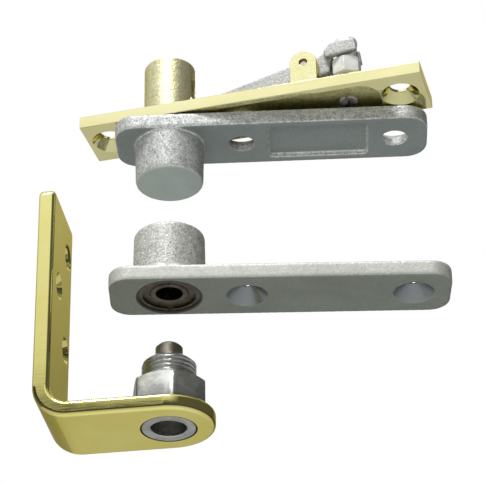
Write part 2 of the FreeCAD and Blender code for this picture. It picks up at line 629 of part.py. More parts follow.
def make_walking_beam():
    """Beam built about its own pivot, level; the fork points along +X, the tip along -X."""
    body = new_body("walking_beam")
    tip_top = CROSS_RISE + " + beam_tip_half"
    tip_bottom = CROSS_RISE + " - beam_tip_half"
    tip_end = "(%s + beam_tip_overrun)" % CROSS_PLACE
    waist = "-(ear_place - beam_thin_place)"
    root = "(fork_floor - beam_dip)"
    prism(body, "bar", "XZ_Plane",
          [(waist + " - beam_lap", "beam_back"), ("-ear_radius", "beam_back"),
           ("ear_radius", "beam_back - beam_dip"),
           (root, "fork_rise + tine_height / 2"), (root, "fork_rise - tine_height / 2 + beam_dip"),
           (root + " - beam_dip", "-beam_belly / 2"), (root + " - beam_dip * 2", "-beam_belly"),
           ("ear_radius / 2", "-beam_belly"), ("-ear_radius", "-beam_back"),
           (waist + " - beam_lap", "-beam_neck")],
          "beam_thickness", centred=True)
    prism(body, "tip", "XZ_Plane",
          [("-" + tip_end, tip_bottom), (waist + " - beam_shoulder", tip_bottom),
           (waist, "-beam_neck"), (waist, "beam_back"),
           (waist + " - beam_shoulder", tip_top), ("-" + tip_end, tip_top)],
          "beam_tip_thickness", centred=True)
    prism(body, "fork", "XZ_Plane",
          [("fork_floor - fork_root", "fork_rise - tine_height / 2 + beam_dip"),
           tine_corner(-1, -1), tine_corner(1, -1), tine_corner(1, 1), tine_corner(-1, 1),
           ("fork_floor - fork_root", "beam_back - beam_dip")],
          "fork_width", centred=True)
    primitive(body, "SubtractiveBox", "fork_slot",
              ("fork_floor", "-fork_gap / 2", "-beam_belly * 2"),
              Length="fork_place", Width="fork_gap", Height="beam_belly * 4")
    primitive(body, "SubtractiveBox", "tip_slot",
              ("-%s - 1" % tip_end, "-beam_thickness / 2",
               CROSS_RISE + " - cross_pin_radius - slot_play"),
              Length="beam_tip_overrun + 1 + cross_pin_radius + slot_run",
              Width="beam_thickness", Height="(cross_pin_radius + slot_play) * 2")
    primitive(body, "SubtractiveCylinder", "pivot_hole", ("0", "-beam_thickness", "0"), ALONG_Y,
              Radius="beam_pin_radius + running", Height="beam_thickness * 2")
    return body


def tine_corner(along, up):
    """Corner of the tines, which lean back by half the beam's tilt from the beam."""
    reach = "(%d * tine_length / 2)" % along
    rise = "(%d * tine_height / 2)" % up
    return ("fork_place + %s * %s + %s * %s" % (reach, HALF_COSINE, rise, HALF_SINE),
            "fork_rise + %s * %s - %s * %s" % (rise, HALF_COSINE, reach, HALF_SINE))


def make_top_pin():
    body = new_body("top_pin")
    turned(body, "pin",
           [("0", "-top_pin_reach"), ("top_pin_radius - pin_chamfer", "-top_pin_reach"),
            ("top_pin_radius", "pin_chamfer - top_pin_reach"),
            ("top_pin_radius", "top_pin_tail - end_break"),
            ("top_pin_radius - end_break", "top_pin_tail"),
            ("0", "top_pin_tail")])
    primitive(body, "SubtractiveBox", "beam_slot",
              ("-top_pin_radius", "-(beam_tip_thickness + side_play) / 2", TIP_FLOOR),
              Length="top_pin_radius * 2", Width="beam_tip_thickness + side_play",
              Height="top_pin_tail - " + TIP_FLOOR)
    primitive(body, "SubtractiveCylinder", "cross_hole",
              ("0", "-top_pin_radius", "cross_pin_height"), ALONG_Y,
              Radius="cross_pin_radius", Height="top_pin_radius * 2")
    return body


def make_cross_pin():
    body = new_body("pin_cross_pin")
    primitive(body, "AdditiveCylinder", "pin",
              ("0", "-cross_pin_length / 2", "cross_pin_height"), ALONG_Y,
              Radius="cross_pin_radius", Height="cross_pin_length")
    return body


def make_travelling_nut():
    """Spool-shaped nut: hexagon below the fork, square neck in it, round flange above."""
    body = new_body("travelling_nut")
    low = "(%s - %s)" % (FORK_HEIGHT, NUT_REACH)
    high = "(%s + %s)" % (FORK_HEIGHT, NUT_REACH)
    primitive(body, "AdditivePrism", "hexagon", (SCREW_PLACE, "0", low + " - nut_hex_height"),
              Rotation(Vector(0, 0, 1), 30),
              Circumradius="nut_flats / sqrt(3)", Height="nut_hex_height")
    primitive(body, "AdditiveBox", "neck",
              (SCREW_PLACE + " - nut_neck / 2", "-nut_neck / 2", low),
              Length="nut_neck", Width="nut_neck", Height=NUT_REACH + " * 2")
    primitive(body, "AdditiveCone", "flange", (SCREW_PLACE, "0", high),
              Radius1="nut_flange_radius", Radius2="nut_flange_radius - end_break",
              Height="nut_flange_height")
    primitive(body, "SubtractiveCylinder", "thread",
              (SCREW_PLACE, "0", low + " - nut_hex_height"),
              Radius="screw_radius + running",
              Height=NUT_REACH + " * 2 + nut_hex_height + nut_flange_height")
    return body


CLIP_HEIGHT = "(frame_plate_thickness + clip_gap)"
SCREW_HEAD = "(frame_relief_depth - screw_head_height)"


def make_retraction_screw():
    body = new_body("retraction_screw")
    primitive(body, "AdditiveCylinder", "head", (SCREW_PLACE, "0", SCREW_HEAD),
              Radius="screw_head_radius", Height="screw_head_height")
    primitive(body, "AdditiveCylinder", "lower_shank", (SCREW_PLACE, "0", SCREW_HEAD),
              Radius="screw_radius", Height=CLIP_HEIGHT + " - " + SCREW_HEAD)
    primitive(body, "AdditiveCylinder", "clip_groove", (SCREW_PLACE, "0", SCREW_HEAD),
              Radius="clip_groove_radius", Height="screw_top - " + SCREW_HEAD)
    primitive(body, "AdditiveCylinder", "upper_shank",
              (SCREW_PLACE, "0", CLIP_HEIGHT + " + clip_thickness"),
              Radius="screw_radius",
              Height="screw_top - end_break - clip_thickness - " + CLIP_HEIGHT)
    primitive(body, "AdditiveCone", "end_chamfer", (SCREW_PLACE, "0", "screw_top - end_break"),
              Radius1="screw_radius", Radius2="screw_radius - end_break", Height="end_break")
    primitive(body, "SubtractiveBox", "driver_slot",
              (SCREW_PLACE + " - screw_slot_width / 2", "-screw_head_radius", SCREW_HEAD),
              Length="screw_slot_width", Width="screw_head_radius * 2",
              Height="screw_slot_depth")
    return body


def make_screw_clip():
    body = new_body("screw_retaining_clip")
    primitive(body, "AdditiveCylinder", "disc", (SCREW_PLACE, "0", CLIP_HEIGHT),
              Radius="clip_radius", Height="clip_thickness")
    primitive(body, "SubtractiveCylinder", "bore", (SCREW_PLACE, "0", CLIP_HEIGHT),
              Radius="clip_groove_radius", Height="clip_thickness")
    primitive(body, "SubtractiveBox", "opening",
              (SCREW_PLACE, "-clip_opening / 2", CLIP_HEIGHT),
              Length="clip_radius * 2", Width="clip_opening", Height="clip_thickness")
    return body


# ---------------------------------------------------------------- the whole set

def make_bearing():
    inner = bearing_ring("bearing_inner_ring", "pin_radius + running", "bearing_inner_shoulder")
    outer = bearing_ring("bearing_outer_ring", "bearing_outer_shoulder", "bearing_radius")
    return [inner, outer, make_bearing_balls(), make_bearing_cage(), make_bearing_shield(),
            make_snap_ring()]


def make_set():
    """Builds every sub-part and returns them all, each at its own place."""
    lower = [make_jamb_bracket(), make_adjusting_stud(), make_lower_pivot_pin()]
    arm = [make_door_arm()] + make_bearing()
    door = [make_top_door_plate(), make_pin_bushing()]
    frame = [make_top_frame_plate(), make_beam_pivot_pin(), make_top_pin(), make_cross_pin(),
             make_travelling_nut(), make_retraction_screw(), make_screw_clip()]
    beam = make_walking_beam()
    doc.recompute()
    carry(lower, "0")
    carry(arm, "arm_height", "arm_turn")
    carry(door, "door_plate_height", "door_plate_turn")
    carry(frame, "frame_plate_height", "frame_plate_turn")
    rocked = Placement(Vector(value("ear_place"), 0, value("ear_pin_height")),
                       Rotation(Vector(0, 1, 0), -value("beam_tilt")))
    carry([beam], "frame_plate_height", "frame_plate_turn", rocked)
    doc.recompute()
    return lower + arm + door + frame + [beam]


def check(parts):
    """Stops the build if any feature failed or any sub-part's shape is unsound."""
    for item in doc.Objects:
        if "Invalid" in item.State or "Error" in item.State:
            raise RuntimeError("%s failed: %s" % (item.Name, item.State))
    for part in parts:
        if part.Shape.isNull() or not part.Shape.isValid():
            raise RuntimeError("%s has no valid shape" % part.Label)


parts = make_set()
check(parts)
os.makedirs("parts", exist_ok=True)
for part in parts:
    part.Shape.exportStep("parts/%s.step" % part.Label)
    print("%-22s %9.1f mm3  %d solid(s)" % (part.Label, part.Shape.Volume, len(part.Shape.Solids)))
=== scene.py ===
from math import cos, pi, radians, sin, tau

import bmesh
import bpy
import numpy as np
from mathutils import Matrix, Vector, noise


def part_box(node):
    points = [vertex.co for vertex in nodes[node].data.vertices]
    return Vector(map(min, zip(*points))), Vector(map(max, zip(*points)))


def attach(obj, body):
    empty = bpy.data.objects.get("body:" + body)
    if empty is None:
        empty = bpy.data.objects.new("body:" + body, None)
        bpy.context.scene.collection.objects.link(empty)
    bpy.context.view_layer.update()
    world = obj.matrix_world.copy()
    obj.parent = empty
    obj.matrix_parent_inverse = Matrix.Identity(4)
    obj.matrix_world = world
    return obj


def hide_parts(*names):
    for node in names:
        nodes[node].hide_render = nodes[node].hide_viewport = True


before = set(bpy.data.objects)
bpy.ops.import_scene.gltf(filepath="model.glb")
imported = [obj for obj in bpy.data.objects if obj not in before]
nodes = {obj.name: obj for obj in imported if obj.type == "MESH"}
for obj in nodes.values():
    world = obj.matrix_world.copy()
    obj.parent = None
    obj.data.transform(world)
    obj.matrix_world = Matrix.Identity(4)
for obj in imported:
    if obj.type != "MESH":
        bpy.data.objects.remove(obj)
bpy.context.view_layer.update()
scene = bpy.context.scene
MM = 0.001

# Sizes of the CAD part in millimetres; hole places run from the pivot axis along their group.
PLATE = 7.94
STUD_FLATS = 31.75
HEX_TOP = PLATE + 14.6
SCREW_X = 90.09
ARM_HOLES = (36.7, 115.0)
DOOR_HOLES = (35.3, 109.8)

# Heights of the plates' undersides, and turns in degrees, as the groups are laid out.
ARM_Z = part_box("door_arm")[0].z / MM
DOOR_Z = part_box("top_door_plate")[1].z / MM - PLATE
HEAD_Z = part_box("top_frame_plate")[0].z / MM
ARM_TURN = 7.36
DOOR_TURN = 5.24
HEAD_TURN = -7.13

# Taller than any group, for masks that are open upwards or downwards.
TALL = 60.0
# Points of a CAD mesh nearer than this are one point; faces turned less than this are one face.
WELD = 2e-6
FLAT = radians(0.3)
# Points round a ring of the lofted pieces.
ROUND = 240


# ---------------------------------------------------------------- mesh helpers

def add_mesh(name, verts, faces, body, slot, material):
    """Mesh piece from points in millimetres, riding on a body."""
    mesh = bpy.data.meshes.new(name)
    mesh.from_pydata([tuple(Vector(v) * MM) for v in verts], [], faces)
    mesh.update()
    piece = bpy.data.objects.new(name, mesh)
    scene.collection.objects.link(piece)
    finish_mesh(piece, material)
    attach(piece, body)
    return piece


def finish_mesh(piece, material, sharp=35):
    """Turns the faces outwards, shades them smooth up to a sharp angle, and gives a material."""
    made = bmesh.new()
    made.from_mesh(piece.data)
    bmesh.ops.recalc_face_normals(made, faces=made.faces)
    made.to_mesh(piece.data)
    made.free()
    piece.data.shade_smooth()
    piece.data.set_sharp_from_angle(angle=radians(sharp))
    piece.data.materials.clear()
    piece.data.materials.append(material)


def loft(rings):
    """Closed skin through rings of equal length; the last ring joins the first."""
    count = len(rings[0])
    verts = np.concatenate(rings)
    faces = []
    for k in range(len(rings)):
        a = k * count
        b = (k + 1) % len(rings) * count
        for i in range(count):
            j = (i + 1) % count
            faces.append((a + i, a + j, b + j, b + i))
    return verts, faces


def ring(radius, height, count=ROUND):
    """Ring about Z; radius and height may each be a number or one value per point."""
    angle = np.arange(count) * tau / count
    radius = np.broadcast_to(radius, count)
    height = np.broadcast_to(height, count)
    return np.stack([radius * np.cos(angle), radius * np.sin(angle), height], 1)


def polygon_radius(flats, sides, turn, count=ROUND, corner=None):
    """Radius of a regular polygon at each point of a ring, its corners cut to a radius."""
    angle = np.arange(count) * tau / count - radians(turn)
    step = tau / sides
    radius = flats / 2 / np.cos(angle % step - step / 2)
    return radius if corner is None else np.minimum(radius, corner)


def thread_rings(low, high, radius, pitch, depth, limit, count=ROUND, steps=14):
    """Rings of a right-hand thread; limit gives the largest radius at each height."""
    land, flank, start = 1.35, 3.4, 0.15
    turn = np.arange(count) / count
    rings = []
    for height in np.linspace(low, high, int((high - low) / pitch * steps) + 1):
        phase = (height / pitch - turn) % 1.0
        groove = np.clip(land - np.abs(phase - 0.5) * flank, 0, 1)
        fade = min(1.0, (height - low) / pitch + start)
        skin = np.minimum(radius - depth * groove * fade, limit(height))
        rings.append(ring(skin, height, count))
    return rings


# ---------------------------------------------------------------- materials

class Nodes:
    """Short way to write a material's node tree."""

    def __init__(self, name):
        self.material = bpy.data.materials.new(name)
        self.material.use_nodes = True
        self.tree = self.material.node_tree
        self.shader = self.tree.nodes["Principled BSDF"]
        self.place = self.new("TexCoord").outputs["Object"]

    def new(self, kind, **settings):
        """Node of a kind, with its settings."""
        node = self.tree.nodes.new("ShaderNode" + kind)
        for key, amount in settings.items():
            setattr(node, key, amount)
        return node

    def put(self, socket, amount):
        """Links a socket to an input, or sets the input to a number or colour."""
        if isinstance(amount, bpy.types.NodeSocket):
            self.tree.links.new(amount, socket)
        else:
            socket.default_value = amount

    def math(self, kind, a, b=0.0, c=0.0, clamp=False):
        node = self.new("Math", operation=kind, use_clamp=clamp)
        for socket, amount in zip(node.inputs, (a, b, c)):
            self.put(socket, amount)
        return node.outputs[0]

    def noise(self, scale, detail=4.0, rough=0.6, stretch=None, warp=0.0):
        node = self.new("TexNoise")
        self.put(node.inputs["Scale"], scale)
        self.put(node.inputs["Detail"], detail)
        self.put(node.inputs["Roughness"], rough)
        self.put(node.inputs["Distortion"], warp)
        place = self.place
        if stretch:
            mapping = self.new("Mapping")
            self.put(mapping.inputs["Scale"], stretch)
            self.put(mapping.inputs["Vector"], place)
            place = mapping.outputs[0]
        self.put(node.inputs["Vector"], place)
        return node.outputs["Fac"]

    def ramp(self, fac, *stops):
        """Colours or greys at places from 0 to 1."""
        node = self.new("ValToRGB")
        ramp = node.color_ramp
        while len(ramp.elements) < len(stops):
            ramp.elements.new(0.5)
        for element, (place, colour) in zip(ramp.elements, stops):
            element.position = place
            shade = colour if isinstance(colour, tuple) else (colour,) * 3
            element.color = (*shade, 1)
        self.put(node.inputs[0], fac)
        return node.outputs[0]

    def mix(self, fac, a, b):
        """Mixes two colours or sockets."""
        node = self.new("Mix", data_type="RGBA")
        self.put(node.inputs["Factor"], fac)
        self.put(node.inputs[6], a if isinstance(a, bpy.types.NodeSocket) else (*a, 1))
        self.put(node.inputs[7], b if isinstance(b, bpy.types.NodeSocket) else (*b, 1))
        return node.outputs[2]

    def blend(self, fac, a, b):
        """Mixes two plain numbers or sockets."""
        node = self.new("Mix", data_type="FLOAT")
        self.put(node.inputs["Factor"], fac)
        self.put(node.inputs[2], a)
        self.put(node.inputs[3], b)
        return node.outputs[0]

    def axes(self, turn=0.0):
        """X, Y and Z in millimetres, in a frame turned about Z."""
        mapping = self.new("Mapping", vector_type="POINT")
        self.put(mapping.inputs["Rotation"], (0, 0, radians(-turn)))
        self.put(mapping.inputs["Scale"], (1000, 1000, 1000))
        self.put(mapping.inputs["Vector"], self.place)
        split = self.new("SeparateXYZ")
        self.put(split.inputs[0], mapping.outputs[0])
        return split.outputs

    def within(self, value, low, high, soft=0.15):
        """1 where value lies between low and high."""
        rise = self.math("MULTIPLY_ADD", value, 1 / soft, 0.5 - low / soft, clamp=True)
        fall = self.math("MULTIPLY_ADD", value, -1 / soft, 0.5 + high / soft, clamp=True)
        return self.math("MULTIPLY", rise, fall)

    def bump(self, height, distance, strength=1.0, after=None):
        node = self.new("Bump")
        self.put(node.inputs["Height"], height)
        self.put(node.inputs["Distance"], distance)
        self.put(node.inputs["Strength"], strength)
        if after is not None:
            self.put(node.inputs["Normal"], after)
        return node.outputs[0]

    def set(self, **sockets):
        """Sets the shader's inputs and gives the material."""
        for name, amount in sockets.items():
            self.put(self.shader.inputs[name.replace("_", " ")], amount)
        return self.material


def radial(n, turn, centre=0.0):
    """Distance from an upright axis at a place along a turned X axis."""
    x, y, _ = n.axes(turn)
    x = n.math("SUBTRACT", x, centre)
    squares = n.math("ADD", n.math("MULTIPLY", x, x), n.math("MULTIPLY", y, y))
    return n.math("SQRT", squares)


# Colours of the materials' details; the edge colour is a painted highlight, and the bore and gap
# colours are painted shade.
PAINTED_EDGE_HIGHLIGHT = (0.80, 0.81, 0.78)
SINK_STEEL = (0.30, 0.315, 0.33)
PAINTED_BORE_SHADE = (0.05, 0.045, 0.035)
PAINTED_GAP_SHADE = (0.05, 0.04, 0.02)
BRASS_TINT = (0.84, 0.76, 0.40, 1)


def casting(name, shaded_under, side, grain=1.0, contrast=0.3, edge_highlight=0.8, barrel=None, cap=None,
            bore=0.0, sinks=()):
    """Grey casting: blasted and sparkling on its sides; smoother underneath, with painted shade
    making it darker there.

    contrast is the sparkle and crests the strength of a painted highlight on the lower edges. The
    barrel sparkles more from its height up; undersides below cap are lighter. Under the barrel,
    the bore is painted dark as shade to its radius, and the sinks are machined countersinks along
    the arm.
    """
    sink_radius, sink_rise = 10.1, 0.2
    n = Nodes(name)
    z = n.axes()[2]
    normal = n.new("SeparateXYZ")
    n.put(normal.inputs[0], n.new("TexCoord").outputs["Normal"])
    upward = normal.outputs[2]
    below = n.math("MULTIPLY_ADD", upward, -4.0, -2.2, clamp=True)
    coarse = n.noise(480, detail=4, rough=0.6)
    fine = n.noise(1350 * grain, detail=3, rough=0.65)
    stain = n.noise(34, detail=4, rough=0.6, warp=0.5)
    height = n.math("ADD", n.math("MULTIPLY", coarse, 0.35), n.math("MULTIPLY", fine, 0.65))
    amount = n.math("MULTIPLY_ADD", height, 8.0, -4.0)
    if barrel:
        contrast = n.blend(n.within(z, barrel, barrel + TALL, soft=2.0), contrast, 0.5)
    limited = n.math("MINIMUM", n.math("MAXIMUM", amount, -1.0), 1.0)
    speckle = n.new("VectorMath", operation="SCALE")
    n.put(speckle.inputs[0], side)
    n.put(speckle.inputs["Scale"], n.math("MULTIPLY_ADD", limited, contrast, 1.0))
    # Undersides: smoother, and their colour darker than the sides as painted shade.
    smooth = n.ramp(height, (0.36, tuple(c * 0.86 for c in shaded_under)), (0.60, shaded_under))
    if cap:
        smooth = n.mix(n.within(z, cap - TALL, cap), smooth, tuple(c * 1.75 for c in shaded_under))
    colour = n.mix(below, speckle.outputs[0], smooth)
    # Painted highlight along the rounded lower edges, speckled like the skin.
    crest = n.within(upward, -0.80, -0.28, soft=0.25)
    highlight_amount = n.math("MULTIPLY", n.math("MULTIPLY_ADD", amount, 0.6, 0.6, clamp=True), edge_highlight)
    colour = n.mix(n.math("MULTIPLY", crest, highlight_amount), colour, PAINTED_EDGE_HIGHLIGHT)
    # Painted shade: the bore under the barrel is coloured dark.
    if bore:
        inside = n.math("LESS_THAN", radial(n, 0.0), bore)
        inside = n.math("MULTIPLY", inside, n.math("LESS_THAN", z, barrel))
        colour = n.mix(inside, colour, PAINTED_BORE_SHADE)
    shade = n.ramp(stain, (0.32, 0.80), (0.62, 1.0))
    stained = n.new("Mix", data_type="RGBA", blend_type="MULTIPLY")
    n.put(stained.inputs["Factor"], 0.7)
    n.put(stained.inputs[6], colour)
    n.put(stained.inputs[7], shade)
    base = stained.outputs[2]
    metal = 0.45
    rough = n.ramp(fine, (0.3, 0.58), (0.7, 0.40))
    for centre in sinks:
        cut = n.math("LESS_THAN", radial(n, ARM_TURN, centre), sink_radius)
        cut = n.math("MULTIPLY", cut, n.math("GREATER_THAN", z, ARM_Z + sink_rise))
        metal = n.blend(cut, metal, 0.95)
        rough = n.blend(cut, rough, 0.32)
        base = n.mix(cut, base, SINK_STEEL)
    strength = n.blend(below, n.math("MULTIPLY_ADD", contrast, 0.6, 0.4), 0.20)
    return n.set(Base_Color=base, Metallic=metal, Roughness=rough,
                 Normal=n.bump(height, distance=0.00020, strength=strength))


def brass(name, tones, turn=0.0, cast=None):
    """Polished brass with faint polishing marks.

    cast gives masks of as-cast surfaces. Without it, the piece is the bracket's bar, with a
    dark ring of painted shade round the stud's gap on its underside.
    """
    gap_inside, gap_outside = 12.6, 13.15
    n = Nodes(name)
    patina = n.noise(30, detail=4, rough=0.6, warp=0.5)
    lines = n.noise(900, detail=3, rough=0.7, stretch=(0.06, 1.0, 1.0))
    wave = n.noise(55, detail=2, rough=0.5)
    colour = n.ramp(patina, *zip((0.3, 0.55, 0.8), tones))
    polish = n.ramp(lines, (0.3, 0.03), (0.75, 0.07))
    rough = n.math("ADD", polish, n.math("MULTIPLY", patina, 0.03))
    smooth = n.bump(wave, distance=0.0006, strength=0.05)
    normal = n.bump(lines, distance=0.00002, strength=0.20, after=smooth)
    n.set(Specular_Tint=BRASS_TINT)
    if cast is None:
        # Painted shade: a dark ring on the underside, in the gap round the stud.
        around = n.within(radial(n, 0.0), gap_inside, gap_outside)
        gap_shade = n.math("MULTIPLY", around, n.within(n.axes()[2], -1.0, 1.0))
        colour = n.mix(gap_shade, colour, PAINTED_GAP_SHADE)
        return n.set(Base_Color=colour, Metallic=1.0, Roughness=rough, Normal=normal)
    mask, relief = cast(n, turn)
    coarse = n.noise(620, detail=5, rough=0.65)
    pits = n.noise(150, detail=4, rough=0.6, warp=0.7)
    grain = n.math("ADD", n.math("MULTIPLY", coarse, 0.7), n.math("MULTIPLY", pits, 0.5))
    bright = n.ramp(grain, (0.35, (0.56, 0.52, 0.27)), (0.55, (0.88, 0.84, 0.50)),
                    (0.75, (1.0, 0.97, 0.70)))
    olive = n.ramp(grain, (0.38, (0.34, 0.31, 0.12)), (0.55, (0.60, 0.56, 0.25)),
                   (0.72, (0.82, 0.78, 0.42)))
    skin = n.mix(relief, bright, olive)
    mask = n.math("MAXIMUM", mask, n.math("MULTIPLY", relief, 0.8))
    grained = n.bump(n.math("MULTIPLY", grain, mask), distance=0.00035, strength=0.8, after=normal)
    return n.set(Base_Color=n.mix(mask, colour, skin), Metallic=1.0,
                 Roughness=n.blend(mask, rough, n.ramp(coarse, (0.3, 0.52), (0.7, 0.34))),
                 Normal=grained)


def head_cast(n, turn):
    """As-cast zones of the frame plate: its barrel and, fainter, its ears, and its relief."""
    plate_top, ears_from = 6.6, 40.0
    relief_low, relief_high = 0.3, 6.0
    relief_start, relief_end, relief_side = 20, 107, 12.6
    x, y, z = n.axes(turn)
    above = n.within(z, HEAD_Z + plate_top, HEAD_Z + TALL)
    outline = n.math("MULTIPLY", n.within(x, relief_start, relief_end),
                     n.within(y, -relief_side, relief_side))
    relief = n.math("MULTIPLY", n.within(z, HEAD_Z + relief_low, HEAD_Z + relief_high), outline)
    fainter = n.math("MULTIPLY_ADD", n.math("GREATER_THAN", x, ears_from), -0.7, 1.0)
    return n.math("MULTIPLY", above, fainter), relief


def steel(name, colour, dark, rough=(0.18, 0.34), turn=0.0, centre=0.0, lines=2600, metal=1.0):
    """Turned steel: fine circular tool marks about an upright axis, and light staining."""
    n = Nodes(name)
    travel = n.math("ADD", radial(n, turn, centre), n.axes()[2])
    joined = n.new("CombineXYZ")
    n.put(joined.inputs[0], travel)
    wave = n.new("TexWave", wave_type="BANDS", bands_direction="X")
    n.put(wave.inputs["Vector"], joined.outputs[0])
    n.put(wave.inputs["Scale"], lines / 1000)
    n.put(wave.inputs["Distortion"], 3.0)
    n.put(wave.inputs["Detail"], 2.0)
    marks = wave.outputs["Fac"]
    stain = n.noise(160, detail=4, rough=0.6, warp=0.6)
    shade = n.ramp(stain, (0.32, dark), (0.62, colour))
    wear = n.math("ADD", n.math("MULTIPLY", marks, 0.4), n.math("MULTIPLY", stain, 0.6))
    return n.set(Base_Color=shade, Metallic=metal,
                 Roughness=n.ramp(wear, (0.25, rough[0]), (0.75, rough[1])),
                 Normal=n.bump(marks, distance=0.00002, strength=0.5))


BRASS_BAR = brass("brass_bar", ((0.87, 0.79, 0.26), (0.92, 0.85, 0.31), (0.95, 0.90, 0.39)))
BRASS_HEAD = brass("brass_head", ((0.83, 0.79, 0.40), (0.89, 0.85, 0.47), (0.93, 0.90, 0.56)),
                   HEAD_TURN, head_cast)
CAST_ARM = casting("cast_arm", (0.235, 0.26, 0.225), (0.53, 0.54, 0.50), contrast=0.14,
                   edge_highlight=0.0, barrel=ARM_Z + 9.5, bore=15.75, sinks=ARM_HOLES)
CAST_DOOR = casting("cast_door", (0.26, 0.295, 0.28), (0.47, 0.48, 0.47), contrast=0.5,
                    cap=DOOR_Z - 4)
CAST_BEAM = casting("cast_beam", (0.30, 0.30, 0.29), (0.37, 0.37, 0.36), grain=0.8,
                    contrast=0.16, edge_highlight=0.3)
STEEL_STUD = steel("steel_stud", (0.55, 0.56, 0.54), (0.40, 0.41, 0.39))
STEEL_PIN = steel("steel_pin", (0.36, 0.33, 0.27), (0.20, 0.17, 0.13), (0.30, 0.46))
STEEL_TOP_PIN = steel("steel_top_pin", (0.62, 0.62, 0.60), (0.42, 0.41, 0.38))
STEEL_SCREW = steel("steel_screw", (0.50, 0.49, 0.46), (0.25, 0.24, 0.22), (0.25, 0.45),
                    HEAD_TURN, SCREW_X)
STEEL_NUT = steel("steel_nut", (0.94, 0.94, 0.91), (0.78, 0.78, 0.75), (0.34, 0.50),
                  HEAD_TURN, SCREW_X, metal=0.55)
STEEL_BEARING = steel("steel_bearing", (0.125, 0.115, 0.075), (0.045, 0.04, 0.03), lines=1500)
STEEL_SHIELD = steel("steel_shield", (0.12, 0.10, 0.08), (0.05, 0.04, 0.035), (0.30, 0.50),
                     lines=1800)
BRASS_CAGE = steel("brass_cage", (0.52, 0.38, 0.16), (0.30, 0.20, 0.08), (0.25, 0.40))
BRONZE = steel("bronze", (0.50, 0.34, 0.18), (0.30, 0.20, 0.10), (0.30, 0.50))


# ---------------------------------------------------------------- carried-over CAD pieces

# Edges turned more than this are broken or rounded.
SHARP_EDGE = radians(32)


def carry_over(name, material, bevel=0.0):
    """Keeps a CAD node, welded and with its edges broken by modifiers only."""
    piece = nodes[name]
    piece.data.materials.clear()
    piece.data.materials.append(material)
    piece.data.shade_smooth()
    weld = piece.modifiers.new("weld", "WELD")
    weld.merge_threshold = WELD
    if bevel:
        flat = piece.modifiers.new("flat", "DECIMATE")
        flat.decimate_type = "DISSOLVE"
        flat.angle_limit = FLAT
        edge = piece.modifiers.new("edge", "BEVEL")
        edge.width = bevel * MM
        edge.segments = 3
        edge.limit_method = "ANGLE"
        edge.angle_limit = SHARP_EDGE
        edge.harden_normals = True
        edge.use_clamp_overlap = True
        edge.miter_outer = "MITER_ARC"
        even = piece.modifiers.new("even", "WEIGHTED_NORMAL")
        even.mode = "FACE_AREA"
        even.weight = 100


carry_over("top_frame_plate", BRASS_HEAD, 0.3)
carry_over("lower_pivot_pin", STEEL_PIN, 0.15)
carry_over("bearing_inner_ring", STEEL_BEARING, 0.12)
carry_over("bearing_outer_ring", STEEL_BEARING, 0.12)
carry_over("bearing_balls", STEEL_BEARING)
carry_over("bearing_cage", BRASS_CAGE)
carry_over("bearing_shield", STEEL_SHIELD, 0.05)
carry_over("bearing_snap_ring", STEEL_BEARING, 0.12)
carry_over("pin_bushing", BRONZE, 0.15)
carry_over("beam_pivot_pin", STEEL_PIN, 0.2)
carry_over("top_pin", STEEL_TOP_PIN, 0.1)
carry_over("pin_cross_pin", STEEL_TOP_PIN, 0.1)
carry_over("screw_retaining_clip", STEEL_SHIELD, 0.05)


def round_bracket():
    """Copy of the bracket whose outline is rounded well over, as polished bar is."""
    inset, corner, rounding = 0.2 * MM, 4.0 * MM, 2.1 * MM
    low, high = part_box("jamb_bracket")
    half, top = (high.y - low.y) / 2 - inset, high.z - inset
    made = bmesh.new()
    made.from_mesh(nodes["jamb_bracket"].data)
    bmesh.ops.remove_doubles(made, verts=made.verts, dist=WELD)
    bmesh.ops.dissolve_limit(made, angle_limit=FLAT, verts=made.verts, edges=made.edges)

    def outer(place):
        """Along the bar's sides and top, at the top's round corners, or round the leg's end."""
        side = abs(place.y) > half or place.z > top
        top_corner = abs(place.y) > half - corner and place.z > top - corner
        leg_end = place.x > -MM and place.xy.length > half
        return side or top_corner or leg_end

    sharp = [edge for edge in made.edges
             if edge.is_manifold and edge.calc_face_angle() > SHARP_EDGE]
    wide = [edge for edge in sharp if all(outer(vert.co) for vert in edge.verts)]
    bmesh.ops.bevel(made, geom=wide, offset=rounding, segments=8, profile=0.5, affect="EDGES",
                    clamp_overlap=False)
    mesh = bpy.data.meshes.new("bracket_bar")
    made.to_mesh(mesh)
    made.free()
    piece = bpy.data.objects.new("bracket_bar", mesh)
    scene.collection.objects.link(piece)
    finish_mesh(piece, BRASS_BAR, sharp=28)
    even = piece.modifiers.new("even", "WEIGHTED_NORMAL")
    even.weight = 100
    even.keep_sharp = True
    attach(piece, "jamb")
    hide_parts("jamb_bracket")


round_bracket()


# ---------------------------------------------------------------- adjusting stud

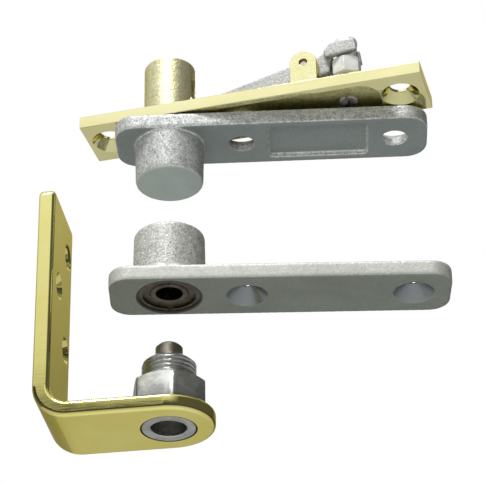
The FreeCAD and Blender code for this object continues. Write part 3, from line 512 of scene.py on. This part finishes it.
def make_stud():
    """Hexagon on the bracket's leg, with a crowned and threaded neck and a recess from below."""
    seat, thread, pitch, depth = PLATE + 0.02, 12.68, 2.117, 0.75
    recess, recess_top = 8.25, 11.0
    pin_hole, head_hole, head_top = 6.42, 7.66, 16.1
    crown_top, crown_spread, crown_drop = 8.3, 4.4, 3.5
    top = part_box("adjusting_stud")[1].z / MM
    land = STUD_FLATS / 2 - 0.4
    six = polygon_radius(STUD_FLATS, 6, 45.0, corner=STUD_FLATS / 2 / cos(pi / 6) - 0.35)
    shoulder = HEX_TOP - (six - land) * 0.65
    rings = [ring(recess, recess_top), ring(recess, 0.5), ring(recess + 0.5, 0.0),
             ring(12.2, 0.0), ring(thread, 0.5), ring(thread, seat - 0.02), ring(thread, seat),
             ring(six - 0.5, seat), ring(six, seat + 0.5), ring(six, shoulder - 0.12),
             ring(six - 0.12, shoulder + 0.06), ring(land, HEX_TOP), ring(land - 0.2, HEX_TOP),
             ring(12.3, HEX_TOP)]

    def crown(height):
        return crown_top + crown_spread * (max(0.0, top - height) / crown_drop) ** 0.85

    rings += thread_rings(HEX_TOP + 0.05, top - 0.1, thread, pitch, depth, crown)
    rings += [ring(8.2, top), ring(6.8, top), ring(pin_hole, top - 0.35),
              ring(pin_hole, head_top), ring(head_hole, head_top), ring(head_hole, recess_top)]
    piece = add_mesh("stud_threaded", *loft(rings), "stud", "turned_steel", STEEL_STUD)
    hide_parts("adjusting_stud")


make_stud()


# ---------------------------------------------------------------- screw and travelling nut

def placed(verts, x, turn):
    """Moves points built about their own axis to a place along a turned X axis."""
    angle = radians(turn)
    return verts + np.array([x * cos(angle), x * sin(angle), 0.0])


def make_screw():
    """Slotted screw, its head below the plate, with a groove for the clip and a thread above."""
    head, shank, groove = 4.5, 3.17, 2.5
    head_height, pitch, depth, point = 1.9, 1.27, 0.62, 0.6
    slot_width, slot_length, slot_depth = 1.3, 12, 2.2
    low, high = (corner.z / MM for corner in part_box("retraction_screw"))
    groove_low, groove_high = (corner.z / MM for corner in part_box("screw_retaining_clip"))
    n = 96
    rings = [ring(0.01, low + 0.6, n), ring(head - 0.4, low, n), ring(head, low + 0.35, n),
             ring(head, low + head_height, n), ring(shank, low + head_height, n),
             ring(shank, groove_low, n), ring(groove, groove_low, n),
             ring(groove, groove_high, n), ring(shank, groove_high, n)]

    def tip(height):
        return shank - max(0.0, height - (high - point))

    rings += thread_rings(groove_high + 0.2, high, shank, pitch, depth, tip, n, steps=10)
    rings += [ring(0.01, high, n)]
    verts, faces = loft(rings)
    piece = add_mesh("screw_threaded", placed(verts, SCREW_X, HEAD_TURN), faces, "screw",
                     "turned_steel", STEEL_SCREW)
    made = bmesh.new()
    bmesh.ops.create_cube(made, size=1.0)
    angle = radians(HEAD_TURN)
    place = Vector((SCREW_X * cos(angle), SCREW_X * sin(angle), low)) * MM
    size = Matrix.Diagonal((slot_width * MM, slot_length * MM, slot_depth * MM, 1))
    matrix = Matrix.Translation(place) @ Matrix.Rotation(angle, 4, "Z") @ size
    bmesh.ops.transform(made, verts=made.verts, matrix=matrix)
    cutter = bpy.data.meshes.new("slot_cutter")
    made.to_mesh(cutter)
    made.free()
    tool = bpy.data.objects.new("slot_cutter", cutter)
    scene.collection.objects.link(tool)
    cut = piece.modifiers.new("slot", "BOOLEAN")
    cut.object = tool
    bake(piece)
    bpy.data.objects.remove(tool)
    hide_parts("retraction_screw")


def bake(piece):
    """Applies a piece's modifiers to its own mesh."""
    shown = piece.evaluated_get(bpy.context.evaluated_depsgraph_get())
    mesh = bpy.data.meshes.new_from_object(shown)
    piece.modifiers.clear()
    piece.data = mesh


def make_nut():
    """Hexagon below, a square neck that the beam's fork holds, and a round flange above."""
    across, neck_across, neck_corner = 12.7, 8.4, 5.6
    hole, face, flange = 3.24, 6.0, 5.6
    hex_height, flange_height = 9.0, 2.6
    low, high = (corner.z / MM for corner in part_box("travelling_nut"))
    n = 144
    hexagon = polygon_radius(across, 6, 30.0 + HEAD_TURN, n)
    square = polygon_radius(neck_across, 4, 45.0 + HEAD_TURN, n, corner=neck_corner)
    hex_top = low + hex_height
    flange_low = high - flange_height
    cone = (hexagon - face) * 0.58
    rings = [ring(hole, low + 0.4, n), ring(3.6, low, n), ring(face, low, n),
             ring(hexagon, low + cone, n), ring(hexagon, hex_top - cone, n),
             ring(face, hex_top, n), ring(square + 0.15, hex_top, n),
             ring(square, hex_top + 0.2, n), ring(square, flange_low - 0.1, n),
             ring(flange - 0.15, flange_low, n), ring(flange, flange_low + 0.2, n),
             ring(flange - 0.15, high - 0.45, n), ring(4.95, high, n), ring(3.6, high, n),
             ring(hole, high - 0.4, n)]
    verts, faces = loft(rings)
    piece = add_mesh("nut_spool", placed(verts, SCREW_X, HEAD_TURN), faces, "nut",
                     "bright_nut", STEEL_NUT)
    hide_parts("travelling_nut")


make_screw()
make_nut()


# ---------------------------------------------------------------- castings

def surface(points):
    """Unevenness of a blasted skin at points in millimetres, from two sizes of noise."""
    wide, fine, ratio, shift = 1.1, 2.3, 0.6, Vector((7, 3, 1))
    return np.array([noise.noise(Vector(p) * wide) + ratio * noise.noise(Vector(p) * fine + shift)
                     for p in points])


def cast_piece(node, name, body, material, turn, lift, keep, rounds, voxel=0.5, grain=0.035):
    """Copy of a CAD casting with melted edges and a blasted skin.

    keep gives 0 for points of machined surfaces and 1 for the skin, from points in the group's
    own frame. Each round of smoothing melts the edges more; grain is the skin's depth.
    """
    full_step, half_step, least = 0.5, 0.30, 0.12
    piece = bpy.data.objects.new(name, nodes[node].data.copy())
    scene.collection.objects.link(piece)
    weld = piece.modifiers.new("weld", "WELD")
    weld.merge_threshold = WELD
    remesh = piece.modifiers.new("remesh", "REMESH")
    remesh.mode = "VOXEL"
    remesh.voxel_size = voxel * MM
    bake(piece)
    mesh = piece.data
    count = len(mesh.vertices)
    points = np.empty(count * 3)
    mesh.vertices.foreach_get("co", points)
    points = points.reshape(-1, 3) / MM
    edges = np.empty(len(mesh.edges) * 2, int)
    mesh.edges.foreach_get("vertices", edges)
    edges = edges.reshape(-1, 2)
    angle = radians(-turn)
    local = np.stack([points[:, 0] * cos(angle) - points[:, 1] * sin(angle),
                      points[:, 0] * sin(angle) + points[:, 1] * cos(angle),
                      points[:, 2] - lift], 1)
    soft = keep(local)
    degree = np.bincount(edges.ravel(), minlength=count)[:, None]
    for number in range(rounds):
        total = np.zeros_like(points)
        np.add.at(total, edges[:, 0], points[edges[:, 1]])
        np.add.at(total, edges[:, 1], points[edges[:, 0]])
        step = full_step if number % 2 == 0 else half_step
        points += (total / degree - points) * step * np.maximum(soft, least)[:, None]
    mesh.vertices.foreach_set("co", (points * MM).ravel())
    mesh.update()
    normals = np.empty(count * 3)
    mesh.vertices.foreach_get("normal", normals)
    points += normals.reshape(-1, 3) * (surface(points) * grain * soft)[:, None]
    mesh.vertices.foreach_set("co", (points * MM).ravel())
    finish_mesh(piece, material, sharp=50)
    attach(piece, body)
    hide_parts(node)


def near(local, x, radius):
    """0 inside a radius of an upright axis, rising to 1 over a millimetre outside it."""
    return np.clip(np.hypot(local[:, 0] - x, local[:, 1]) - radius, 0, 1)


def arm_soft(p):
    """Skin of the arm: all but its countersinks, and the bearing's seat and the bore above it."""
    sink, seat, seat_roof = 10.3, 15.4, 26
    holes = np.minimum(near(p, ARM_HOLES[0], sink), near(p, ARM_HOLES[1], sink))
    return np.minimum(holes, near(p, 0, seat) + (p[:, 2] > seat_roof))


def door_soft(p):
    """Skin of the door plate: all but its screw holes, and the bushing's mouth in its top."""
    hole, mouth, mouth_low = 6.5, 12.2, 2
    holes = np.minimum(near(p, DOOR_HOLES[0], hole), near(p, DOOR_HOLES[1], hole))
    return np.minimum(holes, near(p, 0, mouth) + (p[:, 2] < mouth_low))


def beam_soft(p):
    """Skin of the beam: all of it."""
    return np.ones(len(p))


cast_piece("door_arm", "arm_casting", "arm", CAST_ARM, ARM_TURN, ARM_Z, arm_soft, rounds=8)
cast_piece("top_door_plate", "door_plate_casting", "top_door", CAST_DOOR, DOOR_TURN, DOOR_Z,
           door_soft, rounds=9)
cast_piece("walking_beam", "beam_casting", "beam", CAST_BEAM, HEAD_TURN, HEAD_Z, beam_soft,
           rounds=6, voxel=0.35, grain=0.06)


# ---------------------------------------------------------------- stage, light and camera

def add_floor(name, size, place, colour):
    """Matt plane far below the object; only a stage for it."""
    half = size / 2
    mesh = bpy.data.meshes.new(name)
    corners = [(-half, -half, 0), (half, -half, 0), (half, half, 0), (-half, half, 0)]
    mesh.from_pydata(corners, [], [(0, 1, 2, 3)])
    plane = bpy.data.objects.new(name, mesh)
    plane.location = place
    scene.collection.objects.link(plane)
    n = Nodes(name)
    darker = tuple(c * 0.985 for c in colour)
    grain = n.ramp(n.noise(9, detail=2, rough=0.5), (0.3, colour), (0.7, darker))
    mesh.materials.append(n.set(Base_Color=grain, Roughness=0.9))


add_floor("floor", 14.0, (0, 0, -1.8), (0.88, 0.88, 0.87))
MIDDLE = Vector((0.03, 0, 0.09))


def add_light(name, place, size, power, mirrored):
    """Soft rectangular light turned to the object; mirrored says if polished faces show it."""
    light = bpy.data.lights.new(name, "AREA")
    light.shape = "RECTANGLE"
    light.size, light.size_y = size
    light.energy = power
    lamp = bpy.data.objects.new(name, light)
    lamp.location = place
    lamp.rotation_euler = (MIDDLE - Vector(place)).to_track_quat("-Z", "Y").to_euler()
    lamp.visible_glossy = mirrored
    scene.collection.objects.link(lamp)


add_light("key", (-0.15, -1.2, 1.9), (0.7, 0.4), 30, True)
add_light("left", (-1.6, -1.05, 0.35), (0.5, 0.9), 8, False)
add_light("low", (-0.2, -1.6, -0.35), (1.1, 0.35), 15, False)


# The studio's grey level against the height of a direction, from -1 to 1. In front, a bright
# card stands over a dark table; behind and to the right it is dimmer.
FRONT = ((-1.0, 0.30), (0.0, 0.08), (0.449, 0.03), (0.455, 0.74), (0.52, 0.84), (0.57, 1.06),
         (0.75, 0.75), (1.0, 0.75))
BACK = ((-1.0, 0.45), (0.0, 0.30), (0.46, 0.33), (0.52, 0.50), (0.62, 0.62), (1.0, 0.75))
RIGHT = ((-1.0, 0.30), (0.0, 0.05), (0.60, 0.10), (0.80, 0.50), (1.0, 0.70))
# Where, along Y and along X, the front gives way to the back and both to the right.
TO_BACK = ((-0.25, 0.0), (0.35, 1.0))
TO_RIGHT = ((0.20, 0.0), (0.50, 1.0))


def make_world():
    """Studio that polished faces mirror, and plain white behind the object."""
    world = bpy.data.worlds.new("studio")
    world.use_nodes = True
    scene.world = world
    tree = world.node_tree

    def ramp(source, stops):
        """Grey level along one component of the direction."""
        half = tree.nodes.new("ShaderNodeMath")
        half.operation = "MULTIPLY_ADD"
        half.inputs[1].default_value = 0.5
        half.inputs[2].default_value = 0.5
        node = tree.nodes.new("ShaderNodeValToRGB")
        while len(node.color_ramp.elements) < len(stops):
            node.color_ramp.elements.new(0.5)
        for element, (place, amount) in zip(node.color_ramp.elements, stops):
            element.position = place / 2 + 0.5
            element.color = (amount, amount, amount, 1)
        tree.links.new(source, half.inputs[0])
        tree.links.new(half.outputs[0], node.inputs[0])
        return node.outputs[0]

    def mix(fac, a, b):
        node = tree.nodes.new("ShaderNodeMix")
        node.data_type = "RGBA"
        for socket, source in zip((node.inputs[0], node.inputs[6], node.inputs[7]), (fac, a, b)):
            tree.links.new(source, socket)
        return node.outputs[2]

    where = tree.nodes.new("ShaderNodeTexCoord")
    split = tree.nodes.new("ShaderNodeSeparateXYZ")
    tree.links.new(where.outputs["Generated"], split.inputs[0])
    x, y, z = split.outputs
    around = mix(ramp(y, TO_BACK), ramp(z, FRONT), ramp(z, BACK))
    seen = mix(ramp(x, TO_RIGHT), around, ramp(z, RIGHT))
    shade = tree.nodes["Background"]
    tree.links.new(seen, shade.inputs[0])
    white = tree.nodes.new("ShaderNodeBackground")
    white.inputs[0].default_value = (1, 1, 1, 1)
    ray = tree.nodes.new("ShaderNodeLightPath")
    mixed = tree.nodes.new("ShaderNodeMixShader")
    tree.links.new(ray.outputs["Is Camera Ray"], mixed.inputs[0])
    tree.links.new(shade.outputs[0], mixed.inputs[1])
    tree.links.new(white.outputs[0], mixed.inputs[2])
    tree.links.new(mixed.outputs[0], tree.nodes["World Output"].inputs[0])


make_world()
scene.view_settings.view_transform = "Standard"

# Direction, aim and focal length of the camera that fits the castings; angles in radians.
YAW, PITCH, ROLL = 0.130016, 0.539216, -0.016827
AIM = Vector((0.035132, 0, 0.095308))
DISTANCE = 1.05
FOCAL_PIXELS = 2214.11
WIDTH_PIXELS = 485
SENSOR = 36


def add_camera():
    """Camera that looks up at the object from below and in front."""
    camera = bpy.data.objects.new("camera", bpy.data.cameras.new("camera"))
    scene.collection.objects.link(camera)
    forward = Vector((-sin(YAW) * cos(PITCH), cos(YAW) * cos(PITCH), sin(PITCH)))
    level = Vector((cos(YAW), sin(YAW), 0))
    upright = level.cross(forward)
    right = level * cos(ROLL) + upright * sin(ROLL)
    up = upright * cos(ROLL) - level * sin(ROLL)
    turned = Matrix((right, up, -forward)).transposed().to_4x4()
    camera.matrix_world = Matrix.Translation(AIM - forward * DISTANCE) @ turned
    camera.data.lens = FOCAL_PIXELS / WIDTH_PIXELS * SENSOR
    camera.data.sensor_width = SENSOR
    camera.data.clip_start = 0.01
    camera.data.clip_end = 30
    scene.camera = camera


add_camera()
